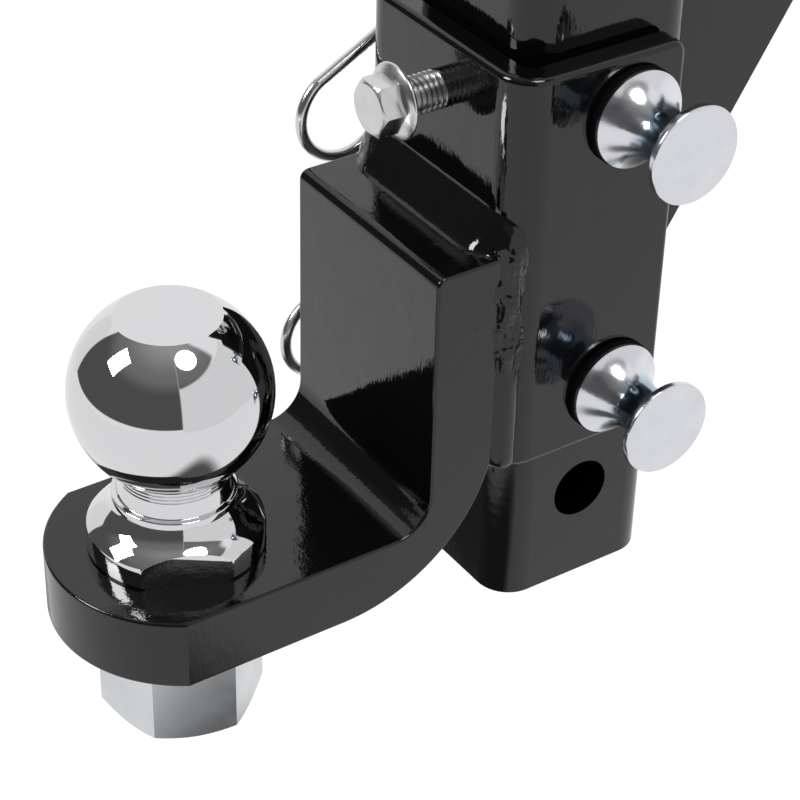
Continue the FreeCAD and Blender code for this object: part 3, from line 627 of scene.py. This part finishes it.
@dataclass
class TowBall:
    """Ball with a flat top, grooved neck, flared collar with two flats, and threaded shank.

    Heights count from the collar's foot. An arch is the curved edge between a flat and the flare.
    """

    axis_y_mm: float = -367.35
    base_z_mm: float = -302.1
    round_steps: int = 144
    radius: float = 25.4
    centre: float = 45.1
    flat: float = 13.3
    flat_edge: float = 0.6
    neck: float = 13.8
    neck_lead: float = 0.05
    groove_tops: Tuple[float, ...] = (23.2, 22.2, 21.2)
    groove_width: float = 0.5
    groove_depth: float = 0.4
    neck_foot: float = 14.6
    foot_round: float = 0.4
    foot_rise: float = 16.9
    foot_degrees: float = 82.0
    lip: float = 15.9
    lip_round: float = 0.4
    lip_rise: float = 15.9
    collar: float = 22.7
    collar_top: float = 15.6
    collar_top_rise: float = 14.1
    hollow: float = 10.0
    hollow_end: Pair = (19.12, 9.43)
    crown: float = 18.0
    crown_end: Pair = (22.4, 6.4)
    draft_rise: float = 4.9
    collar_chamfer: float = 0.7
    flats: float = 39.1
    flat_direction: float = 158.7
    arch_round: float = 0.45
    arch_low_share: float = 0.9
    arch_sides: int = 12
    arch_fold_degrees: float = 20.0
    shank: float = 12.7
    shank_end: float = -54.1
    shank_taper: float = 1.5
    thread_pitch: float = 1.8
    thread_depth: float = 0.9
    thread_crest: float = 0.15
    thread_from: float = -45.0
    thread_gap: float = 0.6

    def profile(self) -> Lathe:
        """Draw the ball's profile from the middle of its flat top down to the end of the shank.

        Returns:
            A lathe that holds the profile.
        """
        top = self.centre + math.sqrt(self.radius ** 2 - self.flat ** 2)
        start = math.degrees(math.asin(self.flat / self.radius))
        neck_drop = math.sqrt(self.radius ** 2 - self.neck ** 2)
        end = 180.0 - math.degrees(math.asin(self.neck / self.radius))
        lathe = Lathe(0.0, top)
        lathe.line(self.flat - self.flat_edge, top).line(self.flat, top)
        lathe.arc(0.0, self.centre, start - end, steps=72)
        lathe.line(self.neck, self.centre - neck_drop - self.neck_lead)
        for height in self.groove_tops:
            middle = height - self.groove_width / 2
            lathe.line(self.neck, height).line(self.neck - self.groove_depth, middle)
            lathe.line(self.neck, height - self.groove_width)
        lathe.line(self.neck_foot, self.foot_rise)
        lathe.arc(self.neck_foot + self.foot_round, self.foot_rise, self.foot_degrees, steps=6)
        lathe.line(self.lip - self.lip_round, self.lip_rise + self.lip_round)
        lathe.arc(self.lip - self.lip_round, self.lip_rise, -90.0, steps=7)
        lathe.line(self.lip, self.collar_top_rise + self.lip - self.collar_top)
        flare_start = (self.collar_top, self.collar_top_rise)
        lathe.line(*flare_start)
        lathe.arc(*bowed_arc(flare_start, self.hollow_end, self.hollow), steps=10)
        lathe.arc(*bowed_arc(self.hollow_end, self.crown_end, -self.crown), steps=6)
        lathe.line(self.collar, self.draft_rise)
        lathe.line(self.collar, self.collar_chamfer).line(self.collar - self.collar_chamfer, 0.0)
        lathe.line(self.shank, 0.0).line(self.shank, self.thread_from)
        height = self.thread_from
        while height - self.thread_pitch > self.shank_end + self.thread_gap:
            lathe.line(self.shank - self.thread_depth, height - self.thread_pitch / 2)
            lathe.line(self.shank, height - self.thread_pitch + self.thread_crest)
            height -= self.thread_pitch
            lathe.line(self.shank, height)
        lathe.line(self.shank - self.shank_taper, self.shank_end).line(0.0, self.shank_end)
        return lathe

    def is_arch(self, edge: bmesh.types.BMEdge) -> bool:
        """Tell whether an edge lies between a flat and the flare above it.

        Args:
            edge: An edge of the milled shape.

        Returns:
            True for such an edge: one of its faces has the many sides of a flat.
        """
        high = min(vert.co.z for vert in edge.verts) > self.draft_rise * MM * self.arch_low_share
        low = max(vert.co.z for vert in edge.verts) < self.collar_top_rise * MM
        sides = max(len(face.verts) for face in edge.link_faces)
        fold = edge.calc_face_angle(0.0) > math.radians(self.arch_fold_degrees)
        return high and low and sides > self.arch_sides and fold

    def build(self, chrome: bpy.types.Material) -> None:
        """Turn the ball, mill the two flats and set it on the platform.

        Args:
            chrome: The ball's plating.
        """
        shape = self.profile().turn(self.round_steps)
        for facing in (self.flat_direction, self.flat_direction + 180.0):
            cut_flat(shape, self.flats / 2, facing, below_mm=self.collar_top_rise)
        bmesh.ops.recalc_face_normals(shape, faces=shape.faces)
        shape.normal_update()
        arches = [edge for edge in shape.edges if edge.is_manifold and self.is_arch(edge)]
        bmesh.ops.bevel(shape, geom=arches, offset=self.arch_round * MM, offset_type="OFFSET", segments=4,
                        profile=0.5, affect="EDGES", material=-1, clamp_overlap=True)
        bmesh.ops.translate(shape, verts=shape.verts, vec=(0.0, self.axis_y_mm * MM, self.base_z_mm * MM))
        finish_piece(shape, "tow_ball_turned", "carriage", chrome, ("tow_ball",))


@dataclass
class SpoolPin:
    """Pin with a spool head: flange, hollow neck and flat disc, all with rounded rims.

    Heights count from the flange's back.
    """

    name: str
    axis_z_mm: float
    clip_direction: Point
    axis_y_mm: float = TUBE_Y_MM
    flange_x_mm: float = 35.25
    tail_x_mm: float = -45.65
    radius: float = 7.9375
    chamfer: float = 1.5
    disc: float = 12.7
    rim: float = 0.45
    flange_rim: float = 1.5
    flange_ease: Pair = (0.25, 0.2)
    hollow: float = 15.0
    neck: float = 6.6
    neck_start: float = 10.5
    neck_end: float = 17.0
    disc_root: float = 8.5
    disc_rim: float = 2.0
    head_length: float = 22.1
    clip_x_mm: float = -39.25
    clip_hole_mm: float = 3.7
    clip_hole_steps: int = 32
    sharp_degrees: float = 32.0

    def profile(self) -> Lathe:
        """Draw the pin's profile from its tail to the middle of its disc.

        Returns:
            A lathe that holds the profile, with the flange's back at height 0.
        """
        tail = self.tail_x_mm - self.flange_x_mm
        lathe = Lathe(0.0, tail)
        lathe.line(self.radius - self.chamfer, tail).line(self.radius, tail + self.chamfer)
        lathe.line(self.radius, 0.0).line(self.disc - self.rim, 0.0)
        lathe.arc(self.disc - self.rim, self.rim, 90.0, steps=5)
        inwards, downwards = self.flange_ease
        eased = (self.disc - inwards, self.flange_rim)
        lathe.line(self.disc, self.flange_rim - downwards).line(*eased)
        lathe.arc(*bowed_arc(eased, (self.neck, self.neck_start), -self.hollow), steps=12)
        lathe.line(self.neck, self.neck_end)
        disc_back = self.head_length - self.disc_rim
        lathe.line(self.disc_root, disc_back).line(self.disc - self.rim, disc_back)
        lathe.arc(self.disc - self.rim, disc_back + self.rim, 90.0, steps=5)
        lathe.line(self.disc, self.head_length - self.rim)
        lathe.arc(self.disc - self.rim, self.head_length - self.rim, 90.0, steps=5)
        lathe.line(0.0, self.head_length)
        return lathe

    def build(self, zinc: bpy.types.Material) -> None:
        """Turn the pin, lay it across the channel and drill the clip's hole.

        Args:
            zinc: The pin's plating.
        """
        shape = self.profile().turn(ROUND_STEPS)
        bmesh.ops.recalc_face_normals(shape, faces=shape.faces)
        place_shape(shape, "Y", (self.flange_x_mm, self.axis_y_mm, self.axis_z_mm))
        drill = bmesh.new()
        bore = self.clip_hole_mm / 2 * MM
        bmesh.ops.create_cone(drill, cap_ends=True, cap_tris=False, segments=self.clip_hole_steps,
                              radius1=bore, radius2=bore, depth=self.radius * 4 * MM)
        turn = Vector((0.0, 0.0, 1.0)).rotation_difference(Vector(self.clip_direction)).to_matrix()
        bmesh.ops.rotate(drill, verts=drill.verts, cent=(0.0, 0.0, 0.0), matrix=turn)
        bmesh.ops.translate(drill, verts=drill.verts,
                            vec=(self.clip_x_mm * MM, self.axis_y_mm * MM, self.axis_z_mm * MM))
        finish_piece(drill_through(shape, drill), self.name + "_turned", self.name, zinc,
                     (self.name,), self.sharp_degrees)


@dataclass
class AntiRattleBolt:
    """Hexagon flange bolt with a real thread and eased edges. Heights count from the flange's seat."""

    flange_y_mm: float = -303.25
    axis_z_mm: float = -196.2
    reach: float = 19.75
    bite: float = 0.2
    thread: float = 5.0
    pitch: float = 1.5
    depth: float = 0.88
    tooth: Tuple[float, ...] = (0.0, 0.55, 0.78, 1.33, 1.5)
    thread_steps: int = 32
    thread_gap_m: float = 5e-7
    flange: float = 9.75
    rim: float = 1.3
    rim_degrees: float = 150.0
    cone: float = 1.3
    cone_inset: float = 0.4
    flats: float = 13.2
    head_height: float = 8.2
    face_share: float = 0.93
    slope_degrees: float = 30.0
    edge: float = 0.22
    fold_degrees: float = 22.0
    sharp_degrees: float = 25.0

    def threaded_shank(self) -> bmesh.types.BMesh:
        """Sweep the thread's profile along its helix and close both ends.

        Returns:
            The shank, with its axis upright and its top just above height 0.
        """
        shape = bmesh.new()
        root = self.thread - self.depth
        turns = math.ceil(self.reach / self.pitch) + 2
        radii = (root, self.thread, self.thread, root, root)
        points = [shape.verts.new((radius * MM, 0.0, (height - self.reach - self.pitch) * MM))
                  for radius, height in zip(radii, self.tooth)]
        for first, second in zip(points, points[1:]):
            shape.edges.new((first, second))
        bmesh.ops.spin(shape, geom=shape.verts[:] + shape.edges[:], cent=(0.0, 0.0, 0.0),
                       axis=(0.0, 0.0, 1.0), angle=math.tau * turns, steps=self.thread_steps * turns,
                       use_duplicate=False, dvec=(0.0, 0.0, self.pitch / self.thread_steps * MM))
        bmesh.ops.remove_doubles(shape, verts=shape.verts, dist=self.thread_gap_m)
        slice_off(shape, (0.0, 0.0, -self.reach), (0.0, 0.0, -1.0))
        slice_off(shape, (0.0, 0.0, self.bite), (0.0, 0.0, 1.0))
        return shape

    def head(self) -> bmesh.types.BMesh:
        """Turn the hexagon's blank, cut its six flats and ease their edges.

        Returns:
            The hexagon, with its axis upright.
        """
        corner = self.flats / math.sqrt(3.0)
        face = self.flats / 2 * self.face_share
        drop = (corner - face) * math.tan(math.radians(self.slope_degrees))
        lathe = Lathe(0.0, self.rim / 2)
        lathe.line(corner, self.rim / 2).line(corner, self.head_height - drop)
        lathe.line(face, self.head_height).line(0.0, self.head_height)
        shape = lathe.turn(ROUND_STEPS)
        for side in range(6):
            cut_flat(shape, self.flats / 2, 30.0 + side * 60.0)
        bmesh.ops.recalc_face_normals(shape, faces=shape.faces)
        shape.normal_update()
        fold = math.radians(self.fold_degrees)
        folded = [e for e in shape.edges if len(e.link_faces) == 2 and e.calc_face_angle(0.0) > fold]
        bmesh.ops.bevel(shape, geom=folded, offset=self.edge * MM, offset_type="OFFSET", segments=2,
                        profile=0.5, affect="EDGES", material=-1, clamp_overlap=True)
        return shape

    def flange_disc(self) -> bmesh.types.BMesh:
        """Turn the flange with its rounded rim and sloping back.

        Returns:
            The flange, with its axis upright.
        """
        round_rim = self.rim / 2
        top = self.rim + self.cone
        lathe = Lathe(0.0, 0.0)
        lathe.line(self.flange - round_rim, 0.0)
        lathe.arc(self.flange - round_rim, round_rim, self.rim_degrees, steps=10)
        lathe.line(self.flats / 2 - self.cone_inset, top).line(0.0, top)
        return lathe.turn(ROUND_STEPS)

    def build(self, zinc: bpy.types.Material) -> None:
        """Put the flange, hexagon and thread together and set them on the bolt's axis.

        Args:
            zinc: The bolt's plating.
        """
        whole = bmesh.new()
        for part in (self.threaded_shank(), self.head(), self.flange_disc()):
            bmesh.ops.recalc_face_normals(part, faces=part.faces)
            mesh = bpy.data.meshes.new("bolt_part")
            part.to_mesh(mesh)
            part.free()
            whole.from_mesh(mesh)
            bpy.data.meshes.remove(mesh)
        place_shape(whole, "X", (0.0, self.flange_y_mm, self.axis_z_mm))
        finish_piece(whole, "anti_rattle_bolt_threaded", "anti_rattle_bolt", zinc,
                     ("anti_rattle_bolt",), self.sharp_degrees)


@dataclass
class Hardware:
    """The small parts: nut, washer and wire clips in their CAD shape, and the turned rubber rings."""

    satin: Tuple[str, ...] = ("ball_nut", "lock_washer")
    clips: Tuple[str, ...] = ("upper_clip", "lower_clip")
    ring_pins: Tuple[Tuple[str, float], ...] = (("upper_pin", UPPER_PIN_Z_MM),
                                                ("lower_pin", LOWER_PIN_Z_MM))
    ring_x_mm: float = 33.66
    ring_bore: float = 8.1
    ring_radius: float = 13.0
    ring_thickness: float = 1.58
    ring_edge: float = 0.5
    sharp_degrees: float = 40.0

    def build(self, zinc: bpy.types.Material, rubber: bpy.types.Material, wire: bpy.types.Material) -> None:
        """Dress the nodes and make the rings.

        Args:
            zinc: Plating of the nut and washer.
            rubber: The rings' rubber.
            wire: The clips' wire.
        """
        for nodes, material in ((self.satin, zinc), (self.clips, wire)):
            for node in nodes:
                dress_node(node, material)
        for pin, height in self.ring_pins:
            self.ring(pin, height, rubber)

    def ring(self, pin: str, height_mm: float, rubber: bpy.types.Material) -> None:
        """Turn one rubber ring with rounded edges and slip it on its pin, behind the flange.

        Args:
            pin: The pin's body.
            height_mm: The pin's height.
            rubber: The ring's rubber.
        """
        edge, wide, thick = self.ring_edge, self.ring_radius, self.ring_thickness
        lathe = Lathe(self.ring_bore, 0.0)
        lathe.line(wide - edge, 0.0).arc(wide - edge, edge, 90.0, steps=5).line(wide, thick - edge)
        lathe.arc(wide - edge, thick - edge, 90.0, steps=5).line(self.ring_bore, thick)
        lathe.line(self.ring_bore, 0.0)
        shape = lathe.turn(ROUND_STEPS)
        place_shape(shape, "Y", (self.ring_x_mm, TUBE_Y_MM, height_mm))
        finish_piece(shape, pin + "_rubber_ring", pin, rubber, (pin + "_ring",),
                     self.sharp_degrees)


class LampShape(Enum):
    """Outline of a lamp, by Blender's name for it."""

    OBLONG = "RECTANGLE"
    ROUND = "DISK"


@dataclass
class Lamp:
    """A soft box given by where it stands and how large it looks as seen from the ball."""

    name: str
    azimuth: float
    elevation: float
    width_degrees: float
    height_degrees: float
    radiance: float
    turn_degrees: float = 0.0
    shape: LampShape = LampShape.OBLONG
    distance_m: float = 1.3
    middle_m: Point = (0.0, -0.33, -0.25)

    def build(self) -> None:
        """Hang the lamp, facing the object."""
        away = direction(self.azimuth, self.elevation)
        width = 2 * self.distance_m * math.tan(math.radians(self.width_degrees / 2))
        height = 2 * self.distance_m * math.tan(math.radians(self.height_degrees / 2))
        area = width * height * (math.pi / 4 if self.shape is LampShape.ROUND else 1.0)
        data = bpy.data.lights.new(self.name, "AREA")
        data.shape = self.shape.value
        data.size = width
        if self.shape is LampShape.OBLONG:
            data.size_y = height
        data.energy = self.radiance * math.pi * area
        thing = bpy.data.objects.new(self.name, data)
        facing = (-away).to_track_quat("-Z", "Y").to_matrix().to_4x4()
        turned = facing @ Matrix.Rotation(math.radians(self.turn_degrees), 4, "Z")
        thing.matrix_world = Matrix.Translation(Vector(self.middle_m) + away * self.distance_m) @ turned
        bpy.context.collection.objects.link(thing)


@dataclass(frozen=True)
class Step:
    """A soft step of an angle: where it starts and ends, in degrees, and its values before and after."""

    start: float
    end: float
    before: float = 0.0
    after: float = 1.0


@dataclass
class Surroundings:
    """What the object reflects: a white sweep, two grey panels, a dim room and a grey ceiling.

    Over the right panel, the room's lower edge rises with azimuth.
    """

    room: Step = Step(26.0, 46.0, 0.095, 0.2)
    upper_room: Step = Step(46.0, 78.0, 0.2, 0.36)
    upper_room_from: Step = Step(45.0, 47.0)
    right_panel: Tuple[Step, ...] = (Step(-18.0, -16.0), Step(82.0, 78.0))
    right_panel_top: Step = Step(44.0, 42.0)
    right_panel_grey: float = 0.85
    left_panel: Tuple[Step, ...] = (Step(-154.0, -156.0),)
    left_panel_top: Step = Step(26.0, 22.0)
    left_panel_grey: float = 0.9
    front: Tuple[Step, ...] = (Step(-156.0, -154.0), Step(-16.0, -18.0))
    front_foot: Step = Step(-11.0, -9.5)
    over: Tuple[Step, ...] = (Step(-18.0, -16.0), Step(58.0, 47.0))
    over_slope: float = 0.165
    over_rise: float = 36.8
    over_edge: Step = Step(-1.5, 1.5)
    ceiling: Step = Step(70.0, 80.0)
    ceiling_grey: float = 0.38

    def mask(self, tree: bpy.types.NodeTree, *angles: Tuple[Any, Sequence[Step]]) -> bpy.types.Node:
        """Multiply soft steps into one mask.

        Args:
            tree: The world's node tree.
            *angles: Each angle with its steps.

        Returns:
            The node whose first output is the mask.
        """
        whole = None
        for angle, steps in angles:
            for step in steps:
                node = add_node(tree, "ShaderNodeMapRange",
                                {"Value": angle, "From Min": step.start, "From Max": step.end,
                                 "To Min": step.before, "To Max": step.after},
                                interpolation_type="SMOOTHSTEP")
                whole = node if whole is None else add_node(tree, "ShaderNodeMath", {0: whole, 1: node},
                                                            operation="MULTIPLY")
        return whole

    def build(self) -> None:
        """Make the world: white for the camera, and the surroundings for everything else."""
        world = bpy.data.worlds.new("studio")
        bpy.context.scene.world = world
        tree = empty_tree(world)
        way = add_node(tree, "ShaderNodeTexCoord").outputs["Generated"]
        x, y, z = add_node(tree, "ShaderNodeSeparateXYZ", {0: way}).outputs
        bearing = add_node(tree, "ShaderNodeMath", {0: y, 1: x}, operation="ARCTAN2")
        azimuth = add_node(tree, "ShaderNodeMath", {0: bearing}, operation="DEGREES")
        tilt = add_node(tree, "ShaderNodeMath", {0: z}, operation="ARCSINE")
        elevation = add_node(tree, "ShaderNodeMath", {0: tilt}, operation="DEGREES")
        edge = add_node(tree, "ShaderNodeMath", {0: azimuth, 1: self.over_slope, 2: self.over_rise},
                        operation="MULTIPLY_ADD")
        above = add_node(tree, "ShaderNodeMath", {0: elevation, 1: edge}, operation="SUBTRACT")
        room = add_node(tree, "ShaderNodeMix", {0: self.mask(tree, (elevation, [self.upper_room_from])),
                                                2: self.mask(tree, (elevation, [self.room])),
                                                3: self.mask(tree, (elevation, [self.upper_room]))})
        right_panel = self.mask(tree, (azimuth, self.right_panel), (elevation, [self.right_panel_top]))
        left_panel = self.mask(tree, (azimuth, self.left_panel), (elevation, [self.left_panel_top]))
        front = self.mask(tree, (azimuth, self.front), (elevation, [self.front_foot]))
        over = self.mask(tree, (azimuth, self.over), (above, [self.over_edge]))
        dim = add_node(tree, "ShaderNodeMath", {0: front, 1: over}, operation="MAXIMUM")
        ceiling = self.mask(tree, (elevation, [self.ceiling]))
        light = 1.0
        for share, brightness in ((right_panel, self.right_panel_grey), (left_panel, self.left_panel_grey),
                                  (dim, room), (ceiling, self.ceiling_grey)):
            light = add_node(tree, "ShaderNodeMix", {0: share, 2: light, 3: brightness})
        path = add_node(tree, "ShaderNodeLightPath")
        seen = add_node(tree, "ShaderNodeBackground", {"Strength": light, "Color": (1, 1, 1, 1)})
        white = add_node(tree, "ShaderNodeBackground", {"Strength": 1.0, "Color": (1, 1, 1, 1)})
        mix = add_node(tree, "ShaderNodeMixShader",
                       {0: path.outputs["Is Camera Ray"], 1: seen, 2: white})
        add_node(tree, "ShaderNodeOutputWorld", {"Surface": mix})


@dataclass
class Studio:
    """Camera, lamps, white paper, and a black card in the tube's open end that paints the shade in its
    bore.
    """

    spot_mm: Point = (420.1, -589.7, 71.5)
    azimuth: float = -33.865
    elevation: float = 35.058
    roll: float = 0.0194
    focal_px: float = 2381.6
    shift_px: Pair = (-24.9, 4.9)
    side_px: int = 800
    sensor: float = 36.0
    sight_m: float = 20.0
    floor_middle_mm: Point = (0.0, -300.0, -402.0)
    floor_half_mm: float = 620.0
    paper_colour: str = "#5c5c5c"
    paper_seen: float = 0.975
    paper_glow: float = 0.95
    shade_middle_mm: Point = (0.0, -358.0, -402.0)
    shade_reach_mm: Point = (120.0, 38.0, 1000.0)
    shade_edge: Pair = (0.8, 1.6)
    shade_glow: float = 0.1
    card_middle_mm: Point = (0.0, TUBE_Y_MM, -341.4)
    card_half_mm: float = 19.3
    lamps: Tuple[Lamp, ...] = (
        Lamp("left_softbox", -112.5, 37.0, 17.0, 22.0, radiance=16.0, turn_degrees=-8.0),
        Lamp("right_softbox", 6.0, 62.0, 22.0, 22.0, radiance=9.5, shape=LampShape.ROUND))

    def camera(self) -> None:
        """Set the camera at the photograph's viewing place."""
        forward = -direction(self.azimuth, self.elevation)
        right = forward.cross(Vector((0, 0, 1))).normalized()
        up = right.cross(forward)
        c, s = math.cos(self.roll), math.sin(self.roll)
        turned_right, turned_up = right * c + up * s, up * c - right * s
        data = bpy.data.cameras.new("camera")
        data.sensor_width = self.sensor
        data.lens = self.focal_px * self.sensor / self.side_px
        data.shift_x = -self.shift_px[0] / self.side_px
        data.shift_y = self.shift_px[1] / self.side_px
        data.clip_end = self.sight_m
        thing = bpy.data.objects.new("camera", data)
        thing.matrix_world = Matrix.Translation(Vector(self.spot_mm) * MM) @ Matrix(
            (turned_right, turned_up, -forward)).transposed().to_4x4()
        bpy.context.collection.objects.link(thing)
        bpy.context.scene.camera = thing

    def sheet(self, name: str, half_mm: float, middle_mm: Point, material: bpy.types.Material) -> None:
        """Lay a level square sheet that isn't part of the object.

        Args:
            name: The sheet's name.
            half_mm: Half its side.
            middle_mm: Its middle.
            material: What it is made of.
        """
        shape = bmesh.new()
        bmesh.ops.create_grid(shape, x_segments=1, y_segments=1, size=half_mm * MM)
        bmesh.ops.translate(shape, verts=shape.verts, vec=Vector(middle_mm) * MM)
        thing = link_mesh(name, shape)
        thing.data.materials.append(material)

    def paper(self) -> bpy.types.Material:
        """White paper that glows, so that it stays white and still takes a soft shadow.

        Its shade, a dark patch, is seen by reflections only.

        Returns:
            The paper's material.
        """
        material = bpy.data.materials.new("white_paper")
        tree = empty_tree(material)
        place = add_node(tree, "ShaderNodeTexCoord").outputs["Object"]
        offset = add_node(tree, "ShaderNodeVectorMath", {0: place, 1: Vector(self.shade_middle_mm) * MM},
                          operation="SUBTRACT")
        share = add_node(tree, "ShaderNodeVectorMath", {0: offset, 1: Vector(self.shade_reach_mm) * MM},
                         operation="DIVIDE")
        far = add_node(tree, "ShaderNodeVectorMath", {0: share}, operation="LENGTH")
        near_edge, far_edge = self.shade_edge
        fall = add_node(tree, "ShaderNodeMapRange",
                        {"Value": far.outputs["Value"], "From Min": near_edge, "From Max": far_edge,
                         "To Min": self.shade_glow, "To Max": self.paper_glow},
                        interpolation_type="SMOOTHSTEP")
        glow = add_node(tree, "ShaderNodeEmission", {"Strength": fall})
        plain = add_node(tree, "ShaderNodeBsdfDiffuse", {"Color": linear(self.paper_colour)})
        bright = add_node(tree, "ShaderNodeEmission", {"Strength": self.paper_seen})
        seen = add_node(tree, "ShaderNodeAddShader", {0: plain, 1: bright})
        path = add_node(tree, "ShaderNodeLightPath")
        mix = add_node(tree, "ShaderNodeMixShader",
                       {0: path.outputs["Is Camera Ray"], 1: glow, 2: seen})
        add_node(tree, "ShaderNodeOutputMaterial", {"Surface": mix})
        return material

    def build(self) -> None:
        """Set up the whole studio."""
        bpy.context.scene.view_settings.view_transform = "Standard"
        self.camera()
        self.sheet("floor", self.floor_half_mm, self.floor_middle_mm, self.paper())
        # The black card in the tube's open end is painted shade for the bore.
        self.sheet("bore_shade_sheet", self.card_half_mm, self.card_middle_mm, BORE_SHADE_CARD.build())
        Surroundings().build()
        for lamp in self.lamps:
            lamp.build()


def main() -> None:
    """Dress every node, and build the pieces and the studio."""
    logging.basicConfig(level=logging.INFO, format="%(message)s")
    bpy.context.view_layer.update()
    coat = POWDER_COAT.build()
    turned = TURNED_ZINC.build()
    PlainSteel().build(coat)
    WeldBead().build(coat)
    TowBall().build(CHROME.build())
    SpoolPin("upper_pin", UPPER_PIN_Z_MM, (0.0, -0.648118, -0.76154)).build(turned)
    SpoolPin("lower_pin", LOWER_PIN_Z_MM, (0.0, -0.847121, -0.531401)).build(turned)
    AntiRattleBolt().build(BOLT_ZINC.build())
    Hardware().build(SATIN_ZINC.build(), RUBBER.build(), SPRING_WIRE.build())
    Studio().build()


if __name__ == "__main__":
    main()
